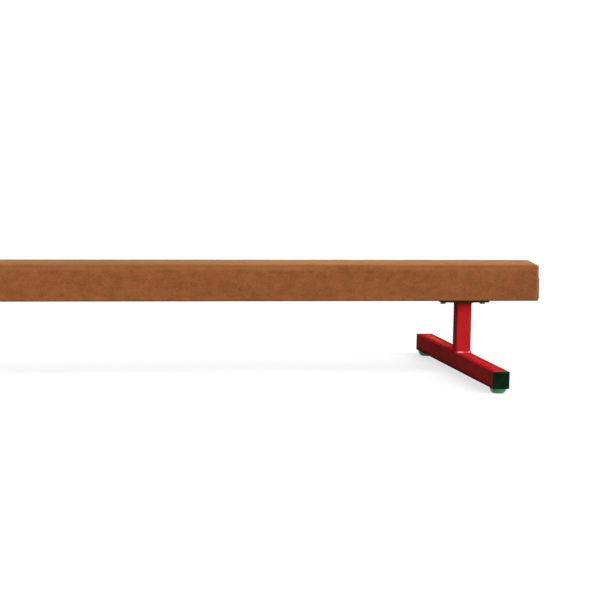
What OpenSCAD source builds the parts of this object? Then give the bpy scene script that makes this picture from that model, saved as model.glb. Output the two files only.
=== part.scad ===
// Low practice balance beam: a padded, suede-covered timber beam bolted to two T-shaped steel legs.
// Millimetres, +Z up. The origin is on the floor under the middle of the beam, and +X runs along it.

/* [Beam] */
// Length of the covered beam, end face to end face
beam_length = 2434; // [1200:1:4900]
// Width of the covered beam
beam_width = 100; // [80:1:140]
// Height of the covered beam's section
beam_height = 100; // [80:1:150]
// Height of the beam's top above the floor
top_height = 300; // [250:1:600]
// Radius of the two long top edges
top_edge_radius = 8; // [4:1:24]
// Radius of the two long bottom edges
bottom_edge_radius = 3; // [2:0.5:8]
// Radius of the edges round the two end faces
end_edge_radius = 6; // [4:1:14]

/* [Upholstery] */
// Thickness of the suede
cover_thickness = 1.5; // [1:0.1:2.5]
// Thickness of the foam on top of the timber
top_pad = 8; // [4:0.5:16]
// Thickness of the foam on the sides of the timber
side_pad = 4; // [2:0.5:8]
// Width of suede turned under each end
hem_width = 30; // [24:1:36]
// Width of timber left bare between the hems turned under the two sides
bare_strip = 40; // [24:1:60]
// Slack between one wrapped layer and the next
layer_gap = 0.25; // [0.1:0.05:0.5]
// Eased edges of the timber
core_edge_radius = 3; // [1:0.5:6]

/* [End plates] */
// Width of the plate screwed to each end of the beam
end_plate_width = 90; // [70:1:100]
// Height of the end plate
end_plate_height = 58; // [40:1:80]
// Thickness of the end plate
end_plate_thickness = 2; // [2:0.5:6]
// Corner radius of the end plate
end_plate_corner = 6; // [2:0.5:12]
// Height of the end plate's lower edge above the beam's underside
end_plate_lift = 3; // [0:0.5:12]
// Distance of the end screws from the end plate's edges
end_screw_margin = 12; // [8:0.5:18]
// Shank diameter of the end screws
end_screw_diameter = 5; // [4:0.5:6]
// Diameter of the countersunk heads of the end screws
end_screw_head = 8; // [7:0.5:12]
// Length of the end screws
end_screw_length = 38; // [25:1:50]
// Width across the flats of the end screws' sockets
end_screw_socket = 3; // [2:0.5:4]

/* [Leg] */
// Distance from each end face of the beam to the middle of its leg
leg_inset = 195; // [120:1:400]
// Outside width of the square upright
upright_size = 40; // [30:0.5:42]
// Wall of the upright
upright_wall = 2; // [1.5:0.1:4]
// Outside width of the square base tube
base_size = 45; // [40:0.5:60]
// Wall of the base tube
base_wall = 2; // [1.5:0.1:4]
// Outside corner radius of both tubes
tube_corner = 3; // [2.5:0.5:6]
// Length of the base across the beam, over its end caps
base_length = 800; // [500:1:900]
// Length of the mounting plate along the beam
plate_length = 134; // [110:1:200]
// Width of the mounting plate
plate_width = 64; // [56:1:80]
// Thickness of the mounting plate
plate_thickness = 6; // [4:0.5:10]
// Corner radius of the mounting plate
plate_corner = 8; // [3:0.5:14]
// Leg length of the fillet welds
weld_leg = 4; // [2.5:0.5:6]
// Rise of a weld's face above the straight line between its toes
weld_crown = 0.5; // [0.2:0.1:0.8]

/* [Leg bolts] */
// Diameter of the leg bolts
bolt_diameter = 8; // [6:1:10]
// Length of the leg bolts under the head
bolt_length = 32; // [26:1:50]
// Width across the flats of the bolts' heads
bolt_flats = 13; // [10:1:17]
// Height of the bolts' heads
bolt_head = 5.3; // [4:0.1:7]
// Distance between a leg's two bolts along the beam
bolt_pitch = 108; // [80:1:114]
// Outside diameter of the bolts' washers
washer_diameter = 17; // [14:0.5:20]
// Thickness of the bolts' washers
washer_thickness = 1.6; // [1:0.1:2.5]
// Outside diameter of the threaded inserts in the timber
insert_diameter = 12; // [11:0.5:16]
// Length of the threaded inserts
insert_length = 20; // [12:1:24]

/* [End caps] */
// Thickness of the cap's flange outside the tube
cap_flange = 5; // [4:0.5:6]
// Width of the rim round the cap's sunk face
cap_rim = 5; // [3:0.5:8]
// Depth of the cap's sunk face
cap_sink = 0.8; // [0.3:0.1:1.5]
// Rounding of the flange's outer edge
cap_edge_radius = 3; // [0.5:0.5:3]
// Depth of the cap's plug inside the tube
plug_depth = 12; // [10:1:16]
// Wall of the hollow plug
plug_wall = 2; // [1.5:0.1:3]
// Height of the gripping fins above the plug's wall
fin_height = 1.6; // [1:0.1:2.5]
// Thickness of a fin
fin_thickness = 1.2; // [0.8:0.1:2]
// Number of fins along the plug
fin_count = 3; // [2:1:4]

/* [Feet] */
// Height of the rubber feet
foot_height = 13; // [8:0.5:30]
// Diameter of a foot where it meets the tube
foot_top = 44; // [36:0.5:45]
// Diameter of the flat that a foot stands on
foot_bottom = 28; // [16:0.5:30]
// Distance from the end of the base to the middle of a foot
foot_inset = 28; // [27:1:80]
// Diameter of the steel disc bonded into a foot
disc_diameter = 30; // [24:0.5:34]
// Thickness of the bonded disc
disc_thickness = 2; // [1.5:0.1:3]
// Diameter of the foot's stud
stud_diameter = 8; // [6:1:10]
// Length of stud that stands above its nut
stud_spare = 3; // [1:0.5:6]
// Width across the flats of the foot's nut
nut_flats = 13; // [12:1:17]
// Height of the nut with its flange
nut_height = 8; // [6:0.5:10]
// Diameter of the nut's flange
nut_flange = 18; // [17:0.5:22]
// Thickness of the nut's flange
nut_flange_thickness = 1.5; // [1:0.1:2.5]

/* [Fits] */
// Radial play of a pin or plug in a hole that it fills
fit_gap = 0.15; // [0.05:0.05:0.3]
// Radial play of a screw in a hole that it only passes through
hole_clearance = 0.5; // [0.3:0.1:1]
// Depth that a drilled hole runs on past the screw's tip
drill_spare = 4; // [1:0.5:8]

/* [Hidden] */
$fn = 64;

// How far a cutting shape runs on past the face that it cuts
cut = 1;
// The smallest radius left where a wall uses up an edge's rounding
least_radius = 0.3;

left = -1;
right = 1;
front = -1;
rear = 1;
sides = [-1, 1];

// Heights
beam_bottom = top_height - beam_height;
plate_bottom = beam_bottom - plate_thickness;
base_top = foot_height + base_size;
base_middle = foot_height + base_size / 2;

// The timber inside its wrapping
lining = cover_thickness + layer_gap;
core_length = beam_length - 2 * lining;
core_width = beam_width - 2 * (lining + side_pad + layer_gap);
core_bottom = beam_bottom + lining;
core_height = beam_height - 2 * lining - top_pad - layer_gap;

// The leg
leg_x = beam_length / 2 - leg_inset;
tube_length = base_length - 2 * cap_flange;
foot_y = base_length / 2 - foot_inset;
base_inside = base_size - 2 * base_wall;
upright_length = plate_bottom - base_top;

// Fasteners
bolt_seat = plate_bottom - washer_thickness;
bolt_tip = bolt_seat + bolt_length;
end_plate_middle = beam_bottom + end_plate_lift + end_plate_height / 2;
end_screw_y = end_plate_width / 2 - end_screw_margin;
end_screw_z = end_plate_height / 2 - end_screw_margin;
// The hole in the suede also clears a countersunk head that is deeper than its plate
end_screw_hole = max(end_screw_diameter, end_screw_head - 2 * end_plate_thickness) + 2 * hole_clearance;
wall_top = foot_height + base_wall;
hex_corners = 1 / cos(30);

// The radius that an edge has left inside a layer
function inner_radius(radius, inset) = max(radius - inset, least_radius);

// Outline standing on its x axis, with one radius for the top corners and one for the bottom corners
module round_section(width, height, top_radius, bottom_radius) {
    for (side = sides) {
        translate([side * (width / 2 - top_radius), height - top_radius])
            circle(top_radius);
        translate([side * (width / 2 - bottom_radius), bottom_radius])
            circle(bottom_radius);
    }
    polygon([
        [-width / 2 + bottom_radius, 0],
        [width / 2 - bottom_radius, 0],
        [width / 2, bottom_radius],
        [width / 2, height - top_radius],
        [width / 2 - top_radius, height],
        [-width / 2 + top_radius, height],
        [-width / 2, height - top_radius],
        [-width / 2, bottom_radius],
    ]);
}

// Rounded square centred on the origin
module round_square(size, radius) {
    translate([0, -size / 2])
        round_section(size, size, radius, radius);
}

// Extrudes an outline along the beam, its x across the beam and its y up
module along_beam(length) {
    rotate([90, 0, 90])
        linear_extrude(length, center = true)
            children();
}

// Extrudes an outline across the beam, its x along the beam and its y up
module across_beam(length) {
    rotate([90, 0, 0])
        linear_extrude(length, center = true)
            children();
}

// Block that stands on z = 0, with its long edges and the edges of its ends rounded
module wrapped_block(length, width, height, top_radius, bottom_radius, end_radius) {
    intersection() {
        along_beam(length + 2 * cut)
            round_section(width, height, top_radius, bottom_radius);
        across_beam(width + 2 * cut)
            round_section(length, height, end_radius, bottom_radius);
        translate([0, -width / 2, -cut])
            linear_extrude(height + 2 * cut)
                round_section(length, width, end_radius, end_radius);
    }
}

// The space inside the beam's outer skin, drawn in by inset on every side
module beam_layer(inset) {
    translate([0, 0, beam_bottom + inset])
        wrapped_block(
            beam_length - 2 * inset,
            beam_width - 2 * inset,
            beam_height - 2 * inset,
            inner_radius(top_edge_radius, inset),
            inner_radius(bottom_edge_radius, inset),
            inner_radius(end_edge_radius, inset)
        );
}

// Repeats its children at a leg's bolts, one on each side of the upright
module at_leg_bolts(leg_side) {
    for (along = sides)
        translate([leg_side * leg_x + along * bolt_pitch / 2, 0, 0])
            children();
}

// Repeats its children at the end screws, turned so that +Z points out of the beam's end
module at_end_screws(end_side) {
    for (across = sides, up = sides)
        translate([
            end_side * (beam_length / 2 + end_plate_thickness),
            across * end_screw_y,
            end_plate_middle + up * end_screw_z
        ])
            rotate([0, end_side * 90, 0])
                children();
}

// Places its children at the middle of a leg
module at_leg(leg_side) {
    translate([leg_side * leg_x, 0, 0])
        children();
}

// Places its children on the axis of one foot
module at_foot(leg_side, end) {
    translate([leg_side * leg_x, end * foot_y, 0])
        children();
}

// The upright's and the base tube's outer shapes, which the welds lie against
module upright_outside(spare) {
    translate([0, 0, base_top - spare])
        linear_extrude(upright_length + 2 * spare)
            round_square(upright_size, tube_corner);
}

module base_outside(length) {
    translate([0, 0, base_middle])
        across_beam(length)
            round_square(base_size, tube_corner);
}

// Section of a fillet weld in the corner of the x and y axes, with a slightly crowned face
// and a root that runs on below the x axis to reach a rounded shoulder
module weld_section(root) {
    polygon([
        [-cut, -root],
        [weld_leg, -root],
        [weld_leg, 0],
        [weld_leg / 2 + weld_crown, weld_leg / 2 + weld_crown],
        [0, weld_leg],
        [-cut, weld_leg],
    ]);
}

// Weld bead round the upright, standing on z = 0
module weld_ring(root) {
    straight = upright_size - 2 * tube_corner;
    for (turn = [0, 90, 180, 270])
        rotate([0, 0, turn]) {
            translate([upright_size / 2, 0, 0])
                across_beam(straight)
                    weld_section(root);
            translate([straight / 2, straight / 2, 0])
                rotate_extrude(angle = 90)
                    translate([tube_corner, 0])
                        weld_section(root);
        }
}

// Timber beam with drilled holes for the leg bolts' inserts and the end screws
module timber_core() {
    color("burlywood")
    difference() {
        translate([0, 0, core_bottom])
            wrapped_block(core_length, core_width, core_height,
                core_edge_radius, core_edge_radius, core_edge_radius);
        for (side = sides) {
            at_leg_bolts(side) {
                translate([0, 0, core_bottom - cut])
                    cylinder(d = insert_diameter + 2 * fit_gap, h = insert_length + cut);
                translate([0, 0, core_bottom])
                    cylinder(
                        d = bolt_diameter + 2 * hole_clearance,
                        h = max(bolt_tip - core_bottom, insert_length) + drill_spare
                    );
            }
            at_end_screws(side)
                translate([0, 0, -end_screw_length - drill_spare])
                    cylinder(d = end_screw_diameter + 2 * fit_gap, h = end_screw_length + drill_spare);
        }
    }
}

// Foam folded over the top and down both sides of the timber
module foam_pad() {
    color("lemonchiffon")
    difference() {
        beam_layer(lining);
        translate([0, 0, beam_bottom])
            along_beam(beam_length)
                round_section(
                    core_width + 2 * layer_gap,
                    core_bottom + core_height + layer_gap - beam_bottom,
                    core_edge_radius + layer_gap,
                    least_radius
                );
    }
}

// Suede stretched over the foam and both ends, with its hems turned under
module suede_cover() {
    color("sienna")
    difference() {
        beam_layer(0);
        beam_layer(cover_thickness);
        translate([0, 0, beam_bottom])
            cube([beam_length - 2 * hem_width, bare_strip, 4 * cover_thickness], center = true);
        for (side = sides)
            at_end_screws(side)
                translate([0, 0, -end_plate_thickness - 2 * cover_thickness])
                    cylinder(d = end_screw_hole, h = end_plate_thickness + 2 * cover_thickness);
    }
}

// Countersunk end screw, its head flush with z = 0
module end_screw(play) {
    head_depth = (end_screw_head - end_screw_diameter) / 2;
    translate([0, 0, -head_depth])
        cylinder(d1 = end_screw_diameter + 2 * play, d2 = end_screw_head + 2 * play, h = head_depth);
    translate([0, 0, -end_screw_length])
        cylinder(d = end_screw_diameter + 2 * play, h = end_screw_length - head_depth);
}

// Plate that holds down the folded end of the cover
module end_plate(end_side) {
    color("darkslategray")
    difference() {
        translate([
            end_side * (beam_length + end_plate_thickness) / 2,
            0,
            end_plate_middle - end_plate_height / 2
        ])
            along_beam(end_plate_thickness)
                round_section(end_plate_width, end_plate_height, end_plate_corner, end_plate_corner);
        at_end_screws(end_side) {
            end_screw(fit_gap);
            cylinder(d = end_screw_head + 2 * fit_gap, h = cut);
        }
    }
}

module end_screws(end_side) {
    color("dimgray")
    at_end_screws(end_side)
        difference() {
            end_screw(0);
            translate([0, 0, -end_screw_socket])
                cylinder(d = end_screw_socket * hex_corners, h = end_screw_socket + cut, $fn = 6);
        }
}

// Threaded sleeves let into the underside of the timber
module threaded_inserts(leg_side) {
    color("goldenrod")
    at_leg_bolts(leg_side)
        translate([0, 0, core_bottom])
            difference() {
                cylinder(d = insert_diameter, h = insert_length);
                translate([0, 0, -cut])
                    cylinder(d = bolt_diameter + 2 * fit_gap, h = insert_length + 2 * cut);
            }
}

module mounting_plate(leg_side) {
    color("black")
    difference() {
        at_leg(leg_side)
            translate([0, -plate_width / 2, plate_bottom])
                linear_extrude(plate_thickness)
                    round_section(plate_length, plate_width, plate_corner, plate_corner);
        at_leg_bolts(leg_side)
            translate([0, 0, plate_bottom - cut])
                cylinder(d = bolt_diameter + 2 * hole_clearance, h = plate_thickness + 2 * cut);
    }
}

// Fillet weld between the upright and the mounting plate
module plate_weld(leg_side) {
    color("black")
    at_leg(leg_side)
        difference() {
            translate([0, 0, plate_bottom])
                mirror([0, 0, 1])
                    weld_ring(0);
            upright_outside(cut);
        }
}

module upright(leg_side) {
    color("firebrick")
    at_leg(leg_side)
        difference() {
            upright_outside(0);
            translate([0, 0, base_top - cut])
                linear_extrude(upright_length + 2 * cut)
                    round_square(
                        upright_size - 2 * upright_wall,
                        inner_radius(tube_corner, upright_wall)
                    );
        }
}

// Fillet weld between the upright and the base tube, cut to the tube's rounded shoulders
module base_weld(leg_side) {
    color("red")
    at_leg(leg_side)
        difference() {
            intersection() {
                translate([0, 0, base_top])
                    weld_ring(tube_corner);
                translate([0, 0, base_top])
                    cube([base_size, base_size + upright_size, 4 * weld_leg + 2 * tube_corner],
                        center = true);
            }
            upright_outside(tube_corner + cut);
            base_outside(base_size + upright_size);
        }
}

// Base tube across the beam, drilled from below for the feet's studs
module base_tube(leg_side) {
    color("firebrick")
    difference() {
        at_leg(leg_side)
            difference() {
                base_outside(tube_length);
                translate([0, 0, base_middle])
                    across_beam(tube_length + 2 * cut)
                        round_square(base_inside, inner_radius(tube_corner, base_wall));
            }
        for (end = sides)
            at_foot(leg_side, end)
                translate([0, 0, foot_height - cut])
                    cylinder(d = stud_diameter + 2 * hole_clearance, h = base_wall + 2 * cut);
    }
}

// Moulded cap with a sunk face outside and a hollow, finned plug inside the tube
module end_cap(leg_side, end) {
    plug_size = base_inside - 2 * fin_height;
    fin_size = base_inside - 2 * fit_gap;
    fin_corner = inner_radius(tube_corner, base_wall + fit_gap);
    fin_pitch = plug_depth / (fin_count + 1);
    flange_foot = cap_edge_radius + cut;
    color([0.06, 0.12, 0.07])
    at_leg(leg_side)
        translate([0, end * tube_length / 2, base_middle])
            rotate([end * -90, 0, 0])
                difference() {
                    union() {
                        intersection() {
                            linear_extrude(cap_flange)
                                round_square(base_size, tube_corner);
                            for_both_ways()
                                translate([0, -flange_foot])
                                    round_section(base_size, cap_flange + flange_foot,
                                        cap_edge_radius, cap_edge_radius);
                        }
                        translate([0, 0, -plug_depth])
                            linear_extrude(plug_depth)
                                round_square(plug_size, inner_radius(tube_corner, base_wall + fin_height));
                        for (fin = [1 : fin_count])
                            translate([0, 0, -fin * fin_pitch - fin_thickness / 2])
                                linear_extrude(fin_thickness)
                                    round_square(fin_size, fin_corner);
                    }
                    translate([0, 0, cap_flange - cap_sink])
                        linear_extrude(cap_sink + cut)
                            round_square(base_size - 2 * cap_rim, inner_radius(tube_corner, cap_rim / 2));
                    translate([0, 0, -plug_depth - cut])
                        linear_extrude(plug_depth + cut)
                            round_square(plug_size - 2 * plug_wall, least_radius);
                }
}

// The shape that an outline, its x across and its y along Z, leaves when it is run both ways
module for_both_ways() {
    intersection_for (turn = [0, 90])
        rotate([0, 0, turn])
            across_beam(base_size + 2 * cut)
                children();
}

// Rubber foot, a disc whose lower edge is rounded down to the flat that it stands on
module foot(leg_side, end) {
    run_in = (foot_top - foot_bottom) / 2;
    edge_radius = (run_in * run_in + foot_height * foot_height) / (2 * run_in);
    color("seagreen")
    at_foot(leg_side, end)
        difference() {
            rotate_extrude()
                intersection() {
                    square([foot_top / 2, foot_height]);
                    union() {
                        translate([foot_top / 2 - edge_radius, foot_height])
                            circle(edge_radius);
                        square([foot_bottom / 2, foot_height]);
                    }
                }
            translate([0, 0, foot_height - disc_thickness - fit_gap])
                cylinder(d = disc_diameter + 2 * fit_gap, h = disc_thickness + fit_gap + cut);
        }
}

// Steel discs bonded into the feet, each with the stud that goes up through the tube's wall
module foot_studs(leg_side) {
    color("lightgray")
    for (end = sides)
        at_foot(leg_side, end) {
            translate([0, 0, foot_height - disc_thickness])
                cylinder(d = disc_diameter, h = disc_thickness);
            translate([0, 0, foot_height - disc_thickness])
                cylinder(d = stud_diameter, h = disc_thickness + base_wall + nut_height + stud_spare);
        }
}

// Flanged nuts inside the base tube
module foot_nuts(leg_side) {
    color("silver")
    for (end = sides)
        at_foot(leg_side, end)
            translate([0, 0, wall_top])
                difference() {
                    union() {
                        cylinder(d = nut_flange, h = nut_flange_thickness);
                        cylinder(d = nut_flats * hex_corners, h = nut_height, $fn = 6);
                    }
                    translate([0, 0, -cut])
                        cylinder(d = stud_diameter + 2 * fit_gap, h = nut_height + 2 * cut);
                }
}

// Hexagon bolts up through the mounting plate, with the lower corners of their heads turned off
module leg_bolts(leg_side) {
    corner_width = bolt_flats * hex_corners;
    color("darkseagreen")
    at_leg_bolts(leg_side) {
        translate([0, 0, bolt_seat - bolt_head])
            intersection() {
                cylinder(d = corner_width, h = bolt_head, $fn = 6);
                cylinder(d1 = bolt_flats, d2 = bolt_flats + 4 * bolt_head, h = bolt_head);
            }
        translate([0, 0, bolt_seat])
            cylinder(d = bolt_diameter, h = bolt_length);
    }
}

module bolt_washers(leg_side) {
    color("silver")
    at_leg_bolts(leg_side)
        translate([0, 0, bolt_seat])
            difference() {
                cylinder(d = washer_diameter, h = washer_thickness);
                translate([0, 0, -cut])
                    cylinder(d = bolt_diameter + 2 * fit_gap, h = washer_thickness + 2 * cut);
            }
}

timber_core();
foam_pad();
suede_cover();
end_plate(left);  // left_end_plate
end_plate(right);  // right_end_plate
end_screws(left);  // left_end_screws
end_screws(right);  // right_end_screws
threaded_inserts(left);  // left_threaded_inserts
threaded_inserts(right);  // right_threaded_inserts
mounting_plate(left);  // left_mounting_plate
mounting_plate(right);  // right_mounting_plate
plate_weld(left);  // left_plate_weld
plate_weld(right);  // right_plate_weld
upright(left);  // left_upright
upright(right);  // right_upright
base_weld(left);  // left_base_weld
base_weld(right);  // right_base_weld
base_tube(left);  // left_base_tube
base_tube(right);  // right_base_tube
end_cap(left, front);  // left_front_cap
end_cap(right, front);  // right_front_cap
end_cap(left, rear);  // left_rear_cap
end_cap(right, rear);  // right_rear_cap
foot(left, front);  // left_front_foot
foot(right, front);  // right_front_foot
foot(left, rear);  // left_rear_foot
foot(right, rear);  // right_rear_foot
foot_studs(left);  // left_foot_studs
foot_studs(right);  // right_foot_studs
foot_nuts(left);  // left_foot_nuts
foot_nuts(right);  // right_foot_nuts
leg_bolts(left);  // left_leg_bolts
leg_bolts(right);  // right_leg_bolts
bolt_washers(left);  // left_bolt_washers
bolt_washers(right);  // right_bolt_washers
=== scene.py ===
import math
import random

import bmesh
import bpy
from mathutils import Matrix, Vector, noise


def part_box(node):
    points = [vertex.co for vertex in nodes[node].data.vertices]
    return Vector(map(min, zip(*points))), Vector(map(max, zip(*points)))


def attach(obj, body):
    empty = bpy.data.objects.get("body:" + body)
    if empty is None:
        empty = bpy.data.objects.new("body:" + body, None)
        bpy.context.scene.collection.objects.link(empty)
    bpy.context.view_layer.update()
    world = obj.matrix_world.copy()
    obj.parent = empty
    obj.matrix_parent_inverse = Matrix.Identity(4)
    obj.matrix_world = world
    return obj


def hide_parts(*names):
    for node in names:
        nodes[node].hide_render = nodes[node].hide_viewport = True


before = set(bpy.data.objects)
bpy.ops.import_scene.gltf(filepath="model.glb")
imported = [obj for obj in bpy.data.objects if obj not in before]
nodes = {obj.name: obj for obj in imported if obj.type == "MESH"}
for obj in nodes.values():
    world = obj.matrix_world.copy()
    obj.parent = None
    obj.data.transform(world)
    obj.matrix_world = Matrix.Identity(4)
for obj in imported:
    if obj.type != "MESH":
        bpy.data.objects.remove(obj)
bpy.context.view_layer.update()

legSides = ("left", "right")
alongBeam = Vector((1, 0, 0))
acrossBeam = Vector((0, 1, 0))
upward = Vector((0, 0, 1))
mm = 0.001
print("frame loaded:", len(nodes), "nodes")


# Shader wiring

class Wire:
    # One output socket. Sums on it add Math nodes to its tree.
    def __init__(self, tree, socket):
        self.tree = tree
        self.socket = socket

    def node(self, kind, settings=None, inputs=None, out=0):
        made = self.tree.nodes.new(kind)
        for name, value in (settings or {}).items():
            setattr(made, name, value)
        for key, value in (inputs or {}).items():
            if isinstance(value, Wire):
                self.tree.links.new(value.socket, made.inputs[key])
            else:
                made.inputs[key].default_value = value
        return Wire(self.tree, made.outputs[out])

    def sums(self, operation, first, second):
        return self.node("ShaderNodeMath", {"operation": operation}, {0: first, 1: second})

    def __add__(self, other):
        return self.sums("ADD", self, other)

    def __sub__(self, other):
        return self.sums("SUBTRACT", self, other)

    def __rsub__(self, other):
        return self.sums("SUBTRACT", other, self)

    def __mul__(self, other):
        return self.sums("MULTIPLY", self, other)

    __radd__ = __add__
    __rmul__ = __mul__

    def __abs__(self):
        return self.sums("ABSOLUTE", self, 0)

    def most(self, other):
        return self.sums("MAXIMUM", self, other)

    def spread(self, low, high):
        # low where this value is 0, high where it is 1
        return self * (high - low) + low

    def part(self, axis):
        return self.node("ShaderNodeSeparateXYZ", None, {"Vector": self}, axis)

    def shifted(self, step):
        return self.node("ShaderNodeMapping", None, {"Vector": self, "Location": (step, step, step)})

    def stretched(self, scale):
        return self.node("ShaderNodeMapping", None, {"Vector": self, "Scale": scale})

    def cloud(self, scale, detail=3.0, roughness=0.5):
        # soft noise about 0 to 1, scale in blobs a metre
        wanted = {"Vector": self, "Scale": scale, "Detail": detail, "Roughness": roughness}
        return self.node("ShaderNodeTexNoise", None, wanted)

    def between(self, low, high):
        # 0 under low, 1 over high, smooth in between
        wanted = {"Value": self, "From Min": low, "From Max": high}
        return self.node("ShaderNodeMapRange", {"interpolation_type": "SMOOTHSTEP"}, wanted)

    def nearing(self, edge, gaps):
        # 0 until the first gap short of the edge, 1 from the second gap on
        return self.between(edge - gaps[0], edge - gaps[1])

    def blend(self, first, second):
        # colour that goes from first to second as this value goes from 0 to 1, by a Mix node's colour sockets
        return self.node("ShaderNodeMix", {"data_type": "RGBA"}, {0: self, 6: first, 7: second}, 2)

    def bump(self, depth, strength=1.0):
        # this value as a height of up to depth metres
        return self.node("ShaderNodeBump", None, {"Height": self, "Distance": depth, "Strength": strength})


def colour(red, green, blue):
    # a screen colour of 0 to 255 as Blender's own linear colour
    def linear(value):
        part = value / 255
        return part / 12.92 if part <= 0.04045 else ((part + 0.055) / 1.055) ** 2.4
    return (linear(red), linear(green), linear(blue), 1.0)


def grey(level):
    return (level, level, level, 1.0)


def newSurface(name, fixed):
    # a material, its Principled shader with fixed values set, and a Wire of the Object coordinates
    material = bpy.data.materials.new(name)
    material.use_nodes = True
    tree = material.node_tree
    shader = tree.nodes["Principled BSDF"]
    for socket, value in fixed.items():
        shader.inputs[socket].default_value = value
    place = tree.nodes.new("ShaderNodeTexCoord")
    return material, shader, Wire(tree, place.outputs["Object"])


def feed(shader, **wires):
    names = {"colour": "Base Color", "rough": "Roughness", "normal": "Normal", "glow": "Emission Color"}
    for word, wire in wires.items():
        wire.tree.links.new(wire.socket, shader.inputs[names[word]])


def mottled(cloud, look):
    return cloud.between(*look["tintRange"]).blend(look["dark"], look["light"])


def fromLegAxis(place, node):
    # how far along the beam a point is from the nearer leg's axis, and half the node's width that way
    low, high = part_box(node)
    return abs(abs(place.part("X")) - (low.x + high.x) / 2), (high.x - low.x) / 2


# Surfaces

# In these looks a noise is its blobs a metre, detail and roughness, a relief is its depth and strength,
# and a cover is how much of a tint shows.

suedeLook = {
    "dark": colour(116, 67, 36),
    "light": colour(159, 98, 59),
    "olive": colour(130, 84, 44),
    "rust": colour(152, 84, 52),
    "litAndWorn": colour(158, 107, 66),  # painted sheen on the top, lighter and yellower, partly wear
    "litBand": colour(160, 101, 62),  # painted light along the padded shoulders and end corners
    "lowDark": colour(96, 58, 30),  # painted shade along the lower edges, and darker low on the end corners
    # layers of the nap: the share of its blobs kept along the beam, which draws them out, then its noise
    "layers": {
        "clouds": (0.6, 10, 3),
        "patches": (0.7, 55, 4, 0.65),
        "nap": (0.5, 260, 3, 0.7),
        "fibres": (0.35, 1500, 2),
        "brushed": (0.06, 120, 3, 0.6),
        "streaks": (0.12, 42, 4, 0.6),
    },
    "toneShares": (0.22, 0.52, 0.44),  # of the clouds, patches and nap
    "tintRange": (0.29, 0.93),
    "oliveSpots": (34, 3),
    "oliveCover": 0.3,
    "rustSpots": (41, 3),
    "rustShift": 3.7,  # away from the olive spots' noise
    "rustCover": 0.32,
    "spotRange": (0.5, 0.74),
    "top": (6 * mm, 2 * mm),  # below the top of the beam
    "topShares": (0.7, 0.5),  # of the brushed layer and the nap
    "shoulder": (19 * mm, 9 * mm),
    "shoulderStray": 8 * mm,  # how far its ragged edge strays
    "shoulderStreaks": (0.3, 0.7),
    "shoulderCover": 0.6,
    "cornerEnd": (7.5 * mm, 4.5 * mm),  # in from the ends
    "cornerSide": (8 * mm, 4 * mm),  # in from the sides
    "cornerCover": 0.9,
    "middleShadeReach": 600 * mm,  # out from the middle of the beam
    "middleShadeCover": 0.42,
    "endShade": (130 * mm, 40 * mm),  # in from the ends
    "endShadeCover": 0.2,
    "creaseShadeDrop": 8 * mm,  # below the top
    "creaseWidth": (0.8 * mm, 2.4 * mm),
    "creaseShadeBreaks": (0.42, 0.7),
    "creaseShadeCover": 0.5,
    "lowShadeEdge": 3.5 * mm,  # up from the lower edges
    "lowShadeEdgeCover": 0.7,
    "lowDarkCorner": 30 * mm,
    "lowDarkCornerCover": 0.6,
    "gloss": 0.01,
    "sheen": 0.06,
    "sheenRough": 0.5,
    "sheenTint": (0.85, 1.0, 0.6, 1.0),
    "rough": (0.85, 0.97),
    "reliefShares": (0.6, 0.4),  # of the nap and fibres
    "relief": (0.35 * mm, 0.6),
}


def makeSuede():
    fixed = {
        "Specular IOR Level": suedeLook["gloss"],
        "Sheen Weight": suedeLook["sheen"],
        "Sheen Roughness": suedeLook["sheenRough"],
        "Sheen Tint": suedeLook["sheenTint"],
    }
    material, shader, place = newSurface("suede", fixed)
    layers = {}
    for name, (along, *cloud) in suedeLook["layers"].items():
        layers[name] = place.stretched((along, 1, 1)).cloud(*cloud)
    nap = layers["nap"]
    litAndWorn = litAndShadedSuede(place, layers, spottedSuede(place, layers))
    napShare, fibreShare = suedeLook["reliefShares"]
    feed(
        shader,
        colour=litAndWorn,
        rough=nap.spread(*suedeLook["rough"]),
        normal=(nap * napShare + layers["fibres"] * fibreShare).bump(*suedeLook["relief"]),
    )
    return material


def spottedSuede(place, layers):
    # brown mottle with olive and rust spots
    cloudShare, patchShare, napShare = suedeLook["toneShares"]
    tone = layers["clouds"] * cloudShare + layers["patches"] * patchShare + layers["nap"] * napShare
    olive = place.cloud(*suedeLook["oliveSpots"]).between(*suedeLook["spotRange"])
    shifted = place.shifted(suedeLook["rustShift"])
    rust = shifted.cloud(*suedeLook["rustSpots"]).between(*suedeLook["spotRange"])
    spotted = (olive * suedeLook["oliveCover"]).blend(mottled(tone, suedeLook), suedeLook["olive"])
    return (rust * suedeLook["rustCover"]).blend(spotted, suedeLook["rust"])


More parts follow.
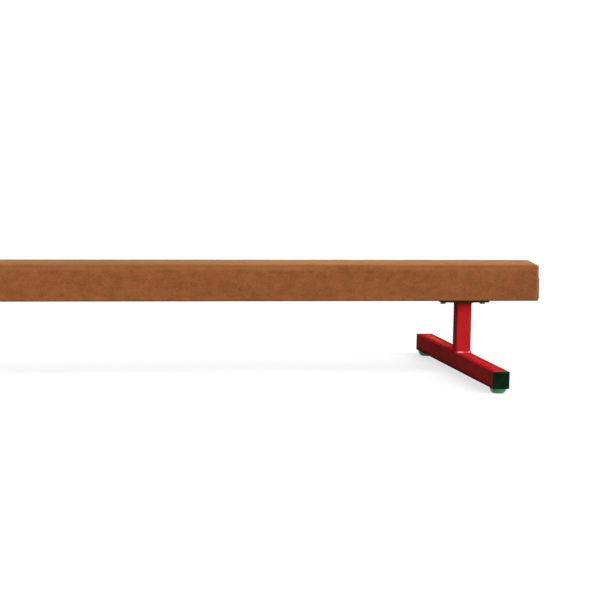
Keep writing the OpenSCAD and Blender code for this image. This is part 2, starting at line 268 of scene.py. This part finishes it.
def litAndShadedSuede(place, layers, tint):
    # painted light on the shoulders and corners, painted sheen on the top (partly wear), painted shade
    # towards the middle of the top, towards the ends, in a crease and along the lower edges, and darker low
    # on the end corners
    low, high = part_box("suede_cover")
    height = place.part("Z")
    fromMiddle = abs(place.part("X"))
    brushed = layers["brushed"]
    streaks = layers["streaks"]
    top = height.nearing(high.z, suedeLook["top"])
    # painted light on the shoulders and end corners, where they slope towards the light
    ragged = height + streaks * suedeLook["shoulderStray"]
    shoulder = ragged.nearing(high.z, suedeLook["shoulder"]) * streaks.between(*suedeLook["shoulderStreaks"])
    outward = abs(place.part("Y")).nearing(high.y, suedeLook["cornerSide"])
    corner = fromMiddle.nearing(high.x, suedeLook["cornerEnd"]) * outward * (1 - top)
    litBand = (shoulder * suedeLook["shoulderCover"]).most(corner * suedeLook["cornerCover"])
    tint = litBand.blend(tint, suedeLook["litBand"])
    brushedShare, napShare = suedeLook["topShares"]
    # painted sheen on the top, in brushed streaks, partly wear
    tint = (top * (brushed * brushedShare + layers["nap"] * napShare)).blend(tint, suedeLook["litAndWorn"])
    # painted shade: the top darker towards the middle of the beam
    middleShade = top * (1 - fromMiddle.between(0, suedeLook["middleShadeReach"])) * suedeLook["middleShadeCover"]
    # painted shade: the sides darker towards the ends
    endShade = fromMiddle.nearing(high.x, suedeLook["endShade"]) * (1 - top) * suedeLook["endShadeCover"]
    tint = middleShade.most(endShade).blend(tint, suedeLook["dark"])
    # painted shade in a crease below the shoulder, in broken lengths
    offCrease = abs(height - (high.z - suedeLook["creaseShadeDrop"])).between(*suedeLook["creaseWidth"])
    creaseShade = (1 - offCrease) * brushed.between(*suedeLook["creaseShadeBreaks"]) * suedeLook["creaseShadeCover"]
    tint = creaseShade.blend(tint, suedeLook["dark"])
    # painted shade along the lower edges, and darker low on the end corners
    lowEdge = 1 - height.between(low.z, low.z + suedeLook["lowShadeEdge"])
    lowCorner = corner * (1 - height.between(low.z, low.z + suedeLook["lowDarkCorner"]))
    lowDark = (lowEdge * suedeLook["lowShadeEdgeCover"]).most(lowCorner * suedeLook["lowDarkCornerCover"])
    return lowDark.blend(tint, suedeLook["lowDark"])


redLook = {
    "dark": colour(168, 30, 34),
    "light": colour(186, 35, 38),
    "shade": (14, 3),
    "tintRange": (0.3, 0.7),
    "scuff": (90, 4, 0.65),
    "scuffRange": (0.62, 0.8),
    "scuffCover": 0.35,
    "sideLight": colour(184, 132, 116),  # painted light: a pale film on the sides of the tubes
    "sideLightBand": (1.5 * mm, 0.5 * mm),  # in from the sides of the uprights
    "sideLightCover": 0.1,
    "grimy": colour(84, 16, 18),  # painted shade along the lower edges
    "grimyHeight": 13 * mm,
    "grimyCover": 0.8,
    "highlightFront": colour(204, 42, 43),  # painted highlight along the tops of the base tubes
    # painted highlight towards the rear, tinted orange as a painted reflection of the suede
    "highlightRear": colour(203, 72, 46),
    "topTurn": (50 * mm, 300 * mm),  # across the beam, from the front tint to the rear one
    "rimShade": colour(152, 24, 26),  # painted shade beside it, along the edges
    "topWidth": (2 * mm, 15 * mm),  # out from the middle, from where it is full to where it ends
    "topStray": 26 * mm,  # how far its ragged edge strays
    "topPatches": (70, 5, 0.65),
    "topStretch": (1, 0.35, 1),
    "topBreaks": (0.42, 0.72),
    "topFadeIn": (-2 * mm, -1 * mm),  # heights from the top of the tube
    "topFadeOut": (0.5 * mm, 1 * mm),
    "topCover": 0.9,
    "gloss": 0,
    "rough": (0.5, 0.58),
    "scuffRough": 0.1,
    "peel": (650, 2),
    "relief": (0.05 * mm, 0.5),
}


def makeRedPaint():
    material, shader, place = newSurface("redPaint", {"Specular IOR Level": redLook["gloss"]})
    low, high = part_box("right_base_tube")
    height = place.part("Z")
    fromAxis, halfUpright = fromLegAxis(place, "right_upright")
    shade = place.cloud(*redLook["shade"])
    scuff = place.cloud(*redLook["scuff"]).between(*redLook["scuffRange"])
    tint = (scuff * redLook["scuffCover"]).blend(mottled(shade, redLook), redLook["dark"])
    # painted light on the sides of the uprights and the tubes beyond them
    onSides = fromAxis.nearing(halfUpright, redLook["sideLightBand"])
    tint = (onSides * redLook["sideLightCover"]).blend(tint, redLook["sideLight"])
    fadeIn = [high.z + rise for rise in redLook["topFadeIn"]]
    fadeOut = [high.z + rise for rise in redLook["topFadeOut"]]
    onTop = height.between(*fadeIn) - height.between(*fadeOut)
    # painted highlight along the tops of the base tubes, painted shade on their edges
    tint = (onTop * redLook["topCover"]).blend(tint, tubeTopLight(place, fromAxis))
    # painted shade, darker towards the bottom of the tubes
    grime = 1 - height.between(low.z, low.z + redLook["grimyHeight"])
    feed(
        shader,
        colour=(grime * redLook["grimyCover"]).blend(tint, redLook["grimy"]),
        rough=shade.spread(*redLook["rough"]) + scuff * redLook["scuffRough"],
        normal=place.cloud(*redLook["peel"]).bump(*redLook["relief"]),
    )
    return material


def tubeTopLight(place, fromAxis):
    # painted highlight along the middle, in ragged patches, and painted shade along the edges
    patches = place.stretched(redLook["topStretch"]).cloud(*redLook["topPatches"])
    ragged = fromAxis + (patches - 0.5) * redLook["topStray"]  # the noise swings about 0.5
    bare = 1 - patches.between(*redLook["topBreaks"])
    litBand = (1 - ragged.between(*redLook["topWidth"])) * bare
    litAndWorn = place.part("Y").between(*redLook["topTurn"]).blend(redLook["highlightFront"], redLook["highlightRear"])
    return litBand.blend(redLook["rimShade"], litAndWorn)


# painted highlight in blotches on the runs across the front and rear of each leg
weldLook = {
    "highlight": colour(243, 140, 147),
    "blotches": (75, 2),
    "highlightBreaks": (0.38, 0.66),
    "runs": (1 * mm, -2 * mm),  # short of the upright's front and rear
    "runEnds": (4 * mm, 0),  # short of its sides
    "rough": (0.3, 0.4),
    "drips": (400, 2),
    "relief": (0.1 * mm, 0.5),
}


def makeWeldPaint():
    material, shader, place = newSurface("redWeld", {"Specular IOR Level": redLook["gloss"]})
    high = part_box("right_upright")[1]
    fromAxis, half = fromLegAxis(place, "right_upright")
    # painted highlight on the front and rear runs, short of the corners
    frontAndRear = abs(place.part("Y")).nearing(high.y, weldLook["runs"])
    runs = frontAndRear * (1 - fromAxis.nearing(half, weldLook["runEnds"]))
    blotches = place.cloud(*weldLook["blotches"])
    feed(
        shader,
        colour=(runs * blotches.between(*weldLook["highlightBreaks"])).blend(redLook["light"], weldLook["highlight"]),
        rough=blotches.spread(*weldLook["rough"]),
        normal=place.cloud(*weldLook["drips"]).bump(*weldLook["relief"]),
    )
    return material


blackLook = {
    "dark": colour(70, 64, 39),
    "light": colour(86, 77, 48),
    "mottle": (60, 4, 0.6),
    "tintRange": (0.3, 0.75),
    "gloss": 0.02,
    "rough": (0.45, 0.6),
    "grain": (900, 2),
    "relief": (0.05 * mm, 0.6),
}


def makeBlackPaint():
    material, shader, place = newSurface("blackPaint", {"Specular IOR Level": blackLook["gloss"]})
    mottle = place.cloud(*blackLook["mottle"])
    feed(
        shader,
        colour=mottled(mottle, blackLook),
        rough=mottle.spread(*blackLook["rough"]),
        normal=place.cloud(*blackLook["grain"]).bump(*blackLook["relief"]),
    )
    return material


capLook = {
    "dark": colour(9, 25, 14),
    "light": colour(16, 36, 21),
    "shade": (45, 3),
    "tintRange": (0.3, 0.7),
    # painted light: a greener band in from the outside
    "rim": colour(12, 46, 27),
    "rimBand": (6 * mm, 5 * mm),  # in from the outside
    "rimCover": 0.6,
    "edge": colour(14, 62, 37),  # painted highlight on the rounded outer edge
    "highlightBand": (2 * mm, 0),
    "gloss": 0.01,
    "rough": (0.4, 0.52),
    "grain": (1200, 2),
    "relief": (0.06 * mm, 0.7),
}


def makeCapPlastic():
    material, shader, place = newSurface("capPlastic", {"Specular IOR Level": capLook["gloss"]})
    low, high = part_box("right_front_cap")
    across, half = fromLegAxis(place, "right_front_cap")
    fromAxis = across.most(abs(place.part("Z") - (low.z + high.z) / 2))
    face = mottled(place.cloud(*capLook["shade"]), capLook)
    # painted light on a band in from the outside, painted highlight on the outer edge
    rim = fromAxis.nearing(half, capLook["rimBand"]) * capLook["rimCover"]
    edge = fromAxis.nearing(half, capLook["highlightBand"])
    grain = place.cloud(*capLook["grain"])
    feed(
        shader,
        colour=edge.blend(rim.blend(face, capLook["rim"]), capLook["edge"]),
        rough=grain.spread(*capLook["rough"]),
        normal=grain.bump(*capLook["relief"]),
    )
    return material


rubberLook = {
    "dark": colour(54, 158, 96),
    "light": colour(90, 192, 126),
    "shade": (70, 3),
    "tintRange": (0.3, 0.7),
    "gloss": 0.3,
    "coat": 0.3,
    "coatRough": 0.15,
    "rough": (0.25, 0.35),
    "grain": (900, 2),
    "relief": (0.05 * mm, 0.5),
}


def makeFootRubber():
    fixed = {
        "Specular IOR Level": rubberLook["gloss"],
        "Coat Weight": rubberLook["coat"],
        "Coat Roughness": rubberLook["coatRough"],
    }
    material, shader, place = newSurface("footRubber", fixed)
    grain = place.cloud(*rubberLook["grain"])
    feed(
        shader,
        colour=mottled(place.cloud(*rubberLook["shade"]), rubberLook),
        rough=grain.spread(*rubberLook["rough"]),
        normal=grain.bump(*rubberLook["relief"]),
    )
    return material


metalLooks = {
    "zinc": {"dark": colour(150, 152, 150), "light": colour(205, 207, 204), "rough": 0.3, "metallic": 1},
    "greenZinc": {"dark": colour(58, 98, 70), "light": colour(96, 140, 108), "rough": 0.32, "metallic": 0.7},
    "blackSteel": {"dark": colour(72, 72, 68), "light": colour(112, 112, 106), "rough": 0.4, "metallic": 1},
    "brass": {"dark": colour(150, 112, 52), "light": colour(205, 168, 92), "rough": 0.3, "metallic": 1},
}
metalGrain = {
    "spots": (260, 4, 0.6),
    "tintRange": (0.3, 0.72),
    "roughSpread": 0.15,
    "scratches": (1400, 2),
    "scratchStretch": (0.1, 1, 1),
    "relief": (0.03 * mm, 0.4),
}


def makeMetal(name, look):
    material, shader, place = newSurface(name, {"Metallic": look["metallic"]})
    spots = place.cloud(*metalGrain["spots"])
    scratches = place.stretched(metalGrain["scratchStretch"]).cloud(*metalGrain["scratches"])
    feed(
        shader,
        colour=mottled(spots, {**metalGrain, **look}),
        rough=spots.spread(look["rough"], look["rough"] + metalGrain["roughSpread"]),
        normal=scratches.bump(*metalGrain["relief"]),
    )
    return material


timberLook = {
    "dark": colour(166, 122, 76),
    "light": colour(218, 182, 132),
    "rings": {"Scale": 9.0, "Distortion": 3.5, "Detail": 3.0},
    "ringStretch": (0.25, 6, 6),
    "pores": (900, 3, 0.6),
    "poreStretch": (0.05, 1, 1),
    "toneShares": (0.7, 0.4),  # of the rings and pores
    "tintRange": (0.1, 1.0),
    "gloss": 0.25,
    "rough": (0.55, 0.75),
    "relief": (0.15 * mm, 0.5),
}


def makeTimber():
    material, shader, place = newSurface("timber", {"Specular IOR Level": timberLook["gloss"]})
    bands = {"wave_type": "BANDS", "bands_direction": "Y"}
    rings = {"Vector": place.stretched(timberLook["ringStretch"]), **timberLook["rings"]}
    grain = place.node("ShaderNodeTexWave", bands, rings)
    pores = place.stretched(timberLook["poreStretch"]).cloud(*timberLook["pores"])
    ringShare, poreShare = timberLook["toneShares"]
    feed(
        shader,
        colour=mottled(grain * ringShare + pores * poreShare, timberLook),
        rough=pores.spread(*timberLook["rough"]),
        normal=pores.bump(*timberLook["relief"]),
    )
    return material


foamLook = {
    "dark": colour(196, 180, 122),
    "light": colour(232, 220, 168),
    "cells": 700.0,  # a metre
    "tintRange": (0.1, 0.7),
    "gloss": 0.15,
    "rough": (0.85, 0.95),
    "relief": (0.4 * mm, 0.6),
}


def makeFoam():
    material, shader, place = newSurface("foam", {"Specular IOR Level": foamLook["gloss"]})
    cells = place.node("ShaderNodeTexVoronoi", None, {"Vector": place, "Scale": foamLook["cells"]})
    feed(
        shader,
        colour=mottled(cells, foamLook),
        rough=cells.spread(*foamLook["rough"]),
        normal=cells.bump(*foamLook["relief"]),
    )
    return material


suede = makeSuede()
redPaint = makeRedPaint()
redWeld = makeWeldPaint()
blackPaint = makeBlackPaint()
capPlastic = makeCapPlastic()
footRubber = makeFootRubber()
metals = {name: makeMetal(name, look) for name, look in metalLooks.items()}
timber = makeTimber()
foam = makeFoam()

# by the ending of the node's name
nodeSurfaces = {
    "timber_core": timber,
    "end_plate": blackPaint,
    "end_screws": metals["blackSteel"],
    "threaded_inserts": metals["brass"],
    "mounting_plate": blackPaint,
    "upright": redPaint,
    "base_tube": redPaint,
    "cap": capPlastic,
    "foot": footRubber,
    "foot_studs": metals["zinc"],
    "foot_nuts": metals["zinc"],
    "leg_bolts": metals["greenZinc"],
    "bolt_washers": metals["greenZinc"],
}
for ending, surface in nodeSurfaces.items():
    for name, node in nodes.items():
        if name.endswith(ending):
            node.data.materials.clear()
            node.data.materials.append(surface)
print("surfaces made:", len(bpy.data.materials))


# Piece making

def meshOf(bm, name):
    mesh = bpy.data.meshes.new(name)
    bm.to_mesh(mesh)
    bm.free()
    return mesh


def linked(name, data):
    made = bpy.data.objects.new(name, data)
    bpy.context.scene.collection.objects.link(made)
    return made


def addPiece(name, mesh, surface, replaced=(), sharp=40):
    # sharp is the angle in degrees from which an edge shows
    mesh.materials.clear()
    mesh.materials.append(surface)
    mesh.shade_smooth()
    mesh.set_sharp_from_angle(angle=math.radians(sharp))
    piece = linked(name, mesh)
    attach(piece, "root")
    if replaced:
        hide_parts(*replaced)
    return piece


def modified(bm, kind, **settings):
    # the mesh that one modifier makes of a bmesh, with the modifier applied
    mesh = meshOf(bm, "draft")
    draft = linked("draft", mesh)
    modifier = draft.modifiers.new(kind, kind)
    for name, value in settings.items():
        setattr(modifier, name, value)
    graph = bpy.context.evaluated_depsgraph_get()
    made = bpy.data.meshes.new_from_object(draft.evaluated_get(graph))
    bpy.data.objects.remove(draft)
    bpy.data.meshes.remove(mesh)
    return made


def carved(bm, cutter):
    # the mesh left of one bmesh when another is cut out of it
    mesh = meshOf(cutter, "cutter")
    tool = linked("cutter", mesh)
    made = modified(bm, "BOOLEAN", operation="DIFFERENCE", object=tool)
    bpy.data.objects.remove(tool)
    bpy.data.meshes.remove(mesh)
    return made


def block(low, high):
    bm = bmesh.new()
    bmesh.ops.create_cube(bm, size=1.0)
    bmesh.ops.scale(bm, vec=high - low, verts=bm.verts)
    bmesh.ops.translate(bm, vec=(low + high) / 2, verts=bm.verts)
    return bm


def cutAcross(bm, steps, normal, start=Vector((0, 0, 0)), faces=None):
    # flat cuts at steps along normal from start, through the chosen faces or all of them
    for step in steps:
        chosen = faces() if faces else bm.faces
        geom = {part for face in chosen for part in (face, *face.edges, *face.verts)}
        bmesh.ops.bisect_plane(bm, geom=list(geom), plane_co=start + normal * step, plane_no=normal)


# Suede cover

coverShape = {
    "shoulder": 6 * mm,  # radius of the long top edges
    "lowerEdge": 3 * mm,
    "endEdge": 6 * mm,
    "roundSteps": 6,
    "proud": 0.3 * mm,  # of the frame's top and sides
    "clear": 0.05 * mm,  # of the mounting plates
    "spacing": 9 * mm,  # of the mesh along the beam
    "rowsAcross": [y * mm for y in range(-42, 43, 7)],  # from the middle
    "rowsUp": [z * mm for z in (*range(6, 20, 2), *range(25, 76, 8), *range(78, 94, 2))],  # from below
    "merge": 0.1 * mm,  # slivers left by the cuts
    "hem": 30 * mm,  # turned under at the ends
    "bareStrip": 40 * mm,  # timber left bare between the hems
    "endFacing": 0.98,  # how squarely a face looks along the beam to be on the end
    "foldRows": [step * mm for step in (-4, -2, -1, 0, 1, 2, 4)],  # of the mesh beside each fold
    "foldDepth": 1.0 * mm,
    "foldWidth": 1.3 * mm,
    "foldLap": 0.4 * mm,  # of the flap over the sides
    "swells": ((16, 0.3 * mm), (45, 0.15 * mm)),  # waves a metre, height
    "underFacing": 0.9,  # how squarely a face looks down to lie flat against the timber
    "sideFacing": 0.6,  # how squarely it looks sideways to take the creases
    "creases": ((12 * mm, 0.45 * mm), (88 * mm, 0.5 * mm)),  # height up the side, depth
    "creaseWidth": 2.6 * mm,
    "creaseLevel": 0.6,  # share of the depth, which wanders to either side of it
    "creaseWander": 0.5,
    "creaseWaves": 6,  # a metre
    "creaseApart": 100,  # keeps the creases from wandering alike
    "lean": 1.0 * mm,  # of the sides, in towards the shoulders
    "leanFrom": 18 * mm,  # below the top
    "cloth": 1.5 * mm,
    "sharp": 60,
    "flat": (0.36, 2.69),  # the cut before it was wrapped
}

# how far the folds pull each end's front and rear corners down, and over what length and height
cornerPull = {
    "left": (3 * mm, 2 * mm),
    "right": (5 * mm, 0.5 * mm),
    "length": 30 * mm,
    "height": 45 * mm,
}


def ramp(value, low, high):
    share = min(max((value - low) / (high - low), 0), 1)
    return share * share * (3 - 2 * share)


def pullCorners(bm, low, high):
    for vert in bm.verts:
        front, rear = cornerPull["left" if vert.co.x < 0 else "right"]
        across = (vert.co.y - low.y) / (high.y - low.y)
        depth = front + (rear - front) * across
        along = ramp(abs(vert.co.x), high.x - cornerPull["length"], high.x)
        vert.co.z -= depth * along * ramp(vert.co.z, high.z - cornerPull["height"], high.z)


def roundedBlock(low, high, inset):
    # a block with the beam's edges, each radius less the inset
    bm = block(low, high)
    middle = (low.z + high.z) / 2
    weights = bm.edges.layers.float.new("bevel_weight_edge")
    for edge in bm.edges:
        first, second = (vert.co for vert in edge.verts)
        if max(first.z, second.z) < middle:
            radius = coverShape["lowerEdge"]
        elif first.x * second.x < 0:
            radius = coverShape["shoulder"]
        else:
            radius = coverShape["endEdge"]
        edge[weights] = (radius - inset) / coverShape["shoulder"]
    rounded = modified(
        bm, "BEVEL", limit_method="WEIGHT", width=coverShape["shoulder"], segments=coverShape["roundSteps"],
        profile=0.5, use_clamp_overlap=False,
    )
    bm = bmesh.new()
    bm.from_mesh(rounded)
    bpy.data.meshes.remove(rounded)
    return bm


def makeCover():
    low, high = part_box("suede_cover")
    length = high.x - low.x
    proud = coverShape["proud"]
    bm = roundedBlock(low + Vector((0, -proud, coverShape["clear"])), high + Vector((0, proud, proud)), 0)
    runs = [edge for edge in bm.edges if edge.calc_length() > length / 2]
    bmesh.ops.subdivide_edges(bm, edges=runs, cuts=int(length / coverShape["spacing"]), use_grid_fill=True)
    cutAcross(bm, coverShape["rowsAcross"], acrossBeam)
    cutAcross(bm, coverShape["rowsUp"], upward, upward * low.z)
    openUnderside(bm, low, high)
    foldEnds(bm, high)
    bmesh.ops.remove_doubles(bm, verts=bm.verts, dist=coverShape["merge"])
    bmesh.ops.dissolve_degenerate(bm, edges=bm.edges, dist=coverShape["merge"])
    swellCover(bm, low, high)
    pullCorners(bm, low, high)
    bmesh.ops.recalc_face_normals(bm, faces=bm.faces)
    mesh = meshOf(bm, "suedeCover")
    cover = addPiece("suedeCover", mesh, suede, ["suede_cover"], coverShape["sharp"])
    wall = cover.modifiers.new("cloth", "SOLIDIFY")
    wall.thickness = coverShape["cloth"]
    wall.offset = -1
    return cover


def openUnderside(bm, low, high):
    # leaves the timber bare between the hems
    halfStrip = coverShape["bareStrip"] / 2
    reach = high.x - coverShape["hem"]
    cutAcross(bm, (-halfStrip, halfStrip), acrossBeam)
    cutAcross(bm, (-reach, reach), alongBeam)
    inside = []
    for face in bm.faces:
        middle = face.calc_center_median()
        under = middle.z < (low.z + high.z) / 2
        if under and abs(middle.y) < halfStrip and abs(middle.x) < reach:
            inside.append(face)
    bmesh.ops.delete(bm, geom=inside, context="FACES")


def foldEnds(bm, high):
    # diagonal folds from the top corners of each end, one flap lying over two
    for end in (-1, 1):
        def endFaces():
            return [face for face in bm.faces if face.normal.x * end > coverShape["endFacing"]]
        for side in (-1, 1):
            corner = Vector((0, side * high.y, high.z))
            diagonal = Vector((0, side, -1)).normalized()
            bm.normal_update()
            cutAcross(bm, coverShape["foldRows"], diagonal, corner, endFaces)
    bm.normal_update()
    for vert in bm.verts:
        if abs(vert.normal.x) < coverShape["endFacing"]:
            continue
        end = math.copysign(1, vert.normal.x)
        fromFold = (abs(vert.co.y) - high.y - vert.co.z + high.z) / math.sqrt(2)
        groove = coverShape["foldDepth"] * math.exp(-((fromFold / coverShape["foldWidth"]) ** 2))
        lap = coverShape["foldLap"] if fromFold < 0 else 0
        vert.co.x -= end * (groove - lap)


def swellCover(bm, low, high):
    # foam under the cloth: soft swells, creases where the foam's edges lie, sides that lean in
    shoulder = coverShape["shoulder"]
    leanFrom = coverShape["leanFrom"]
    bm.normal_update()
    for vert in bm.verts:
        if vert.normal.z < -coverShape["underFacing"]:
            continue  # flat against the timber
        rise = sum(depth * noise.noise(vert.co * waves) for waves, depth in coverShape["swells"])
        if abs(vert.normal.y) > coverShape["sideFacing"]:
            for height, depth in coverShape["creases"]:
                off = (vert.co.z - low.z - height) / coverShape["creaseWidth"]
                spot = Vector((vert.co.x * coverShape["creaseWaves"], height * coverShape["creaseApart"], 0))
                wander = coverShape["creaseLevel"] + coverShape["creaseWander"] * noise.noise(spot)
                rise -= depth * wander * math.exp(-off * off)
        above = vert.co.z - (high.z - leanFrom)
        upper = min(max(above / (leanFrom - shoulder), 0), 1)
        outer = ramp(abs(vert.co.y), high.y - 2 * shoulder, high.y - coverShape["lean"])
        vert.co += vert.normal * rise
        vert.co.y -= math.copysign(coverShape["lean"] * upper * outer, vert.co.y)


cover = makeCover()
print("suede cover:", len(cover.data.polygons), "faces")


# Foam under the suede

foamShape = {"inset": 1.75 * mm, "gap": 0.25 * mm, "spacing": 5 * mm}


def makeFoamPad():
    # a rounded block with a channel for the timber cut along it
    low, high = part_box("foam_pad")
    coreLow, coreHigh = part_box("timber_core")
    gap = foamShape["gap"]
    channel = block(
        Vector((low.x - gap, coreLow.y - gap, low.z - gap)),
        Vector((high.x + gap, coreHigh.y + gap, coreHigh.z + gap)),
    )
    bm = roundedBlock(low, high, foamShape["inset"])
    rows = int(cornerPull["length"] / foamShape["spacing"])
    for end in (-1, 1):
        steps = [end * (high.x - row * foamShape["spacing"]) for row in range(1, rows + 1)]
        cutAcross(bm, steps, alongBeam)
    pullCorners(bm, low, high)
    return addPiece("foamPad", carved(bm, channel), foam, ["foam_pad"])


foamPad = makeFoamPad()
print("foam pad made")


# Weld beads

weldShape = {
    "corner": 3 * mm,  # of the tube
    "ripple": 2.1 * mm,
    "radius": 3.1 * mm,
    "sizes": (0.93, 1.07),  # of the drops, times the radius
    "out": 1.0 * mm,
    "up": 0.8 * mm,
    "stray": (0.7, 1.3),  # times out and up
    "dropDetail": 2,
    "voxel": 0.6 * mm,
    "sharp": 80,
    "baseSeed": 11,
    "plateSeed": 31,
}


def ringPoints(half, corner, step):
    # points step apart round a square with rounded corners, with the direction out of each
    straight = 2 * (half - corner)
    arc = corner * math.pi / 2
    count = round(4 * (straight + arc) / step)
    for index in range(count):
        along = index / count * 4
        quarter = int(along)
        part = (along - quarter) * (straight + arc)
        if part < straight:
            point = Vector((half, part - straight / 2, 0))
            outward = Vector((1, 0, 0))
        else:
            turn = (part - straight) / corner
            outward = Vector((math.cos(turn), math.sin(turn), 0))
            point = Vector((half - corner, half - corner, 0)) + outward * corner
        spin = Matrix.Rotation(quarter * math.pi / 2, 3, "Z")
        yield spin @ point, spin @ outward


def makeBead(name, tube, joint, rise, surface, replaced, seed):
    # overlapping drops of metal round the tube, fused into one bead
    low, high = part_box(tube)
    middle = Vector(((low.x + high.x) / 2, (low.y + high.y) / 2, joint))
    half = (high.x - low.x) / 2
    chance = random.Random(seed)
    bm = bmesh.new()
    for point, outward in ringPoints(half, weldShape["corner"], weldShape["ripple"]):
        place = middle + point + outward * weldShape["out"] * chance.uniform(*weldShape["stray"])
        place.z += rise * weldShape["up"] * chance.uniform(*weldShape["stray"])
        size = weldShape["radius"] * chance.uniform(*weldShape["sizes"])
        bmesh.ops.create_icosphere(
            bm, subdivisions=weldShape["dropDetail"], radius=size, matrix=Matrix.Translation(place),
        )
    fused = modified(bm, "REMESH", mode="VOXEL", voxel_size=weldShape["voxel"])
    return addPiece(name, fused, surface, [replaced], weldShape["sharp"])


for index, side in enumerate(legSides):
    upright = f"{side}_upright"
    foot, head = (corner.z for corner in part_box(upright))
    baseWeld = f"{side}_base_weld"
    plateWeld = f"{side}_plate_weld"
    baseSeed = weldShape["baseSeed"] + index
    plateSeed = weldShape["plateSeed"] + index
    makeBead(f"{side}BaseBead", upright, foot, 1, redWeld, baseWeld, baseSeed)
    makeBead(f"{side}PlateBead", upright, head, -1, blackPaint, plateWeld, plateSeed)
print("weld beads made")


# Staples in the hems

stapleShape = {
    "crown": 11 * mm,
    "wire": 1.2 * mm,
    "thick": 0.6 * mm,
    "round": 0.2 * mm,  # of the edges
    "pitch": 42 * mm,
    "inset": 8 * mm,  # in from the bare strip
    "stray": 1 * mm,
    "turn": 0.25,  # radians at most, either way
    "margin": 10 * mm,  # kept clear round the mounting plates
    "seed": 5,
}


def makeStaples():
    low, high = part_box("suede_cover")
    length = high.x - low.x
    row = coverShape["bareStrip"] / 2 + stapleShape["inset"]
    margin = stapleShape["margin"]
    plates = [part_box(f"{side}_mounting_plate") for side in legSides]
    size = Matrix.Diagonal((stapleShape["crown"], stapleShape["wire"], stapleShape["thick"], 1))
    chance = random.Random(stapleShape["seed"])
    bm = bmesh.new()
    count = int(length / stapleShape["pitch"])
    for side in (-1, 1):
        for index in range(count):
            x = low.x + (index + 0.5) * length / count
            if any(plateLow.x - margin < x < plateHigh.x + margin for plateLow, plateHigh in plates):
                continue
            turn = Matrix.Rotation(chance.uniform(-1, 1) * stapleShape["turn"], 4, "Z")
            y = side * (row + chance.uniform(-1, 1) * stapleShape["stray"])
            place = Matrix.Translation((x, y, low.z + stapleShape["thick"] / 2))
            bmesh.ops.create_cube(bm, size=1.0, matrix=place @ turn @ size)
    bmesh.ops.bevel(
        bm, geom=list(bm.edges), offset=stapleShape["round"], affect="EDGES",
        segments=1, profile=0.5, material=-1,
    )
    return addPiece("hemStaples", meshOf(bm, "hemStaples"), metals["zinc"])


makeStaples()
print("staples made")


# Stage, light and camera

lampRig = {
    "key": {"towards": (0.53, -0.63, 0.57), "level": 1.4, "angle": 70},
    "fill": {"towards": (-0.8, -0.55, 0.12), "level": 0.18, "angle": 60},
    "overhead": {"towards": (0.0, -0.1, 1.0), "level": 0.13, "angle": 90},
    "behind": {"towards": (0.1, 0.85, 0.5), "level": 0.5, "angle": 90},
}
studio = {"sky": 0.1, "floorSeen": 0.3, "floorGlow": 0.68, "floorBounce": 0.1, "floorReach": 200}


def seenDirectly(tree):
    # 1 for what the camera sees, also in gloss and through glass
    path = tree.nodes.new("ShaderNodeLightPath")
    seen = ("Is Camera Ray", "Is Glossy Ray", "Is Transmission Ray")
    camera, glossy, through = (Wire(tree, path.outputs[name]) for name in seen)
    return (camera + glossy + through).between(0, 1)


def makeStage():
    bm = bmesh.new()
    bmesh.ops.create_grid(bm, x_segments=1, y_segments=1, size=studio["floorReach"])
    floor = linked("floor", meshOf(bm, "floor"))
    fixed = {"Specular IOR Level": 0, "Roughness": 1, "Emission Strength": 1}
    paper, shader, place = newSurface("floorPaper", fixed)
    seen = seenDirectly(place.tree)
    feed(
        shader,
        colour=seen.blend(grey(studio["floorBounce"]), grey(studio["floorSeen"])),
        glow=seen.blend(grey(0), grey(studio["floorGlow"])),
    )
    floor.data.materials.append(paper)


def makeLight():
    for name, lamp in lampRig.items():
        data = bpy.data.lights.new(name, "SUN")
        data.energy = lamp["level"] * math.pi  # at level 1 a surface that faces the lamp shows its own colour
        data.angle = math.radians(lamp["angle"])
        light = linked(name, data)
        light.rotation_mode = "QUATERNION"
        light.rotation_quaternion = Vector(lamp["towards"]).to_track_quat("Z", "Y")
    world = bpy.data.worlds.new("studio")
    world.use_nodes = True
    bpy.context.scene.world = world
    tree = world.node_tree
    sky = tree.nodes["Background"]
    sky.inputs["Color"].default_value = grey(1)
    strength = seenDirectly(tree).spread(studio["sky"], 1)
    tree.links.new(strength.socket, sky.inputs["Strength"])


cameraView = {
    "fromLeg": (-2.4385, -9.0288, 1.1735),  # from the foot of the right upright, in metres
    "yaw": 12.457,  # to the right of straight across the beam
    "pitch": 6.378,  # down
    "roll": -1.316,
    "lens": 211.74,
    "sensor": 36,
    "reach": 1000,
}


def makeCamera():
    low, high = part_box("right_upright")
    leg = Vector(((low.x + high.x) / 2, (low.y + high.y) / 2, low.z))
    yaw, pitch, roll = (math.radians(cameraView[word]) for word in ("yaw", "pitch", "roll"))
    ahead = Vector((math.sin(yaw) * math.cos(pitch), math.cos(yaw) * math.cos(pitch), -math.sin(pitch)))
    level = Vector((math.cos(yaw), -math.sin(yaw), 0))
    down = ahead.cross(level)
    right = level * math.cos(roll) + down * math.sin(roll)
    up = level * math.sin(roll) - down * math.cos(roll)
    data = bpy.data.cameras.new("camera")
    data.lens = cameraView["lens"]
    data.sensor_width = cameraView["sensor"]
    data.clip_end = cameraView["reach"]
    camera = linked("camera", data)
    turn = Matrix((right, up, -ahead)).transposed()
    camera.matrix_world = Matrix.Translation(leg + Vector(cameraView["fromLeg"])) @ turn.to_4x4()
    bpy.context.scene.camera = camera


makeStage()
makeLight()
makeCamera()
bpy.context.scene.view_settings.view_transform = "Standard"
print("stage, light and camera set")
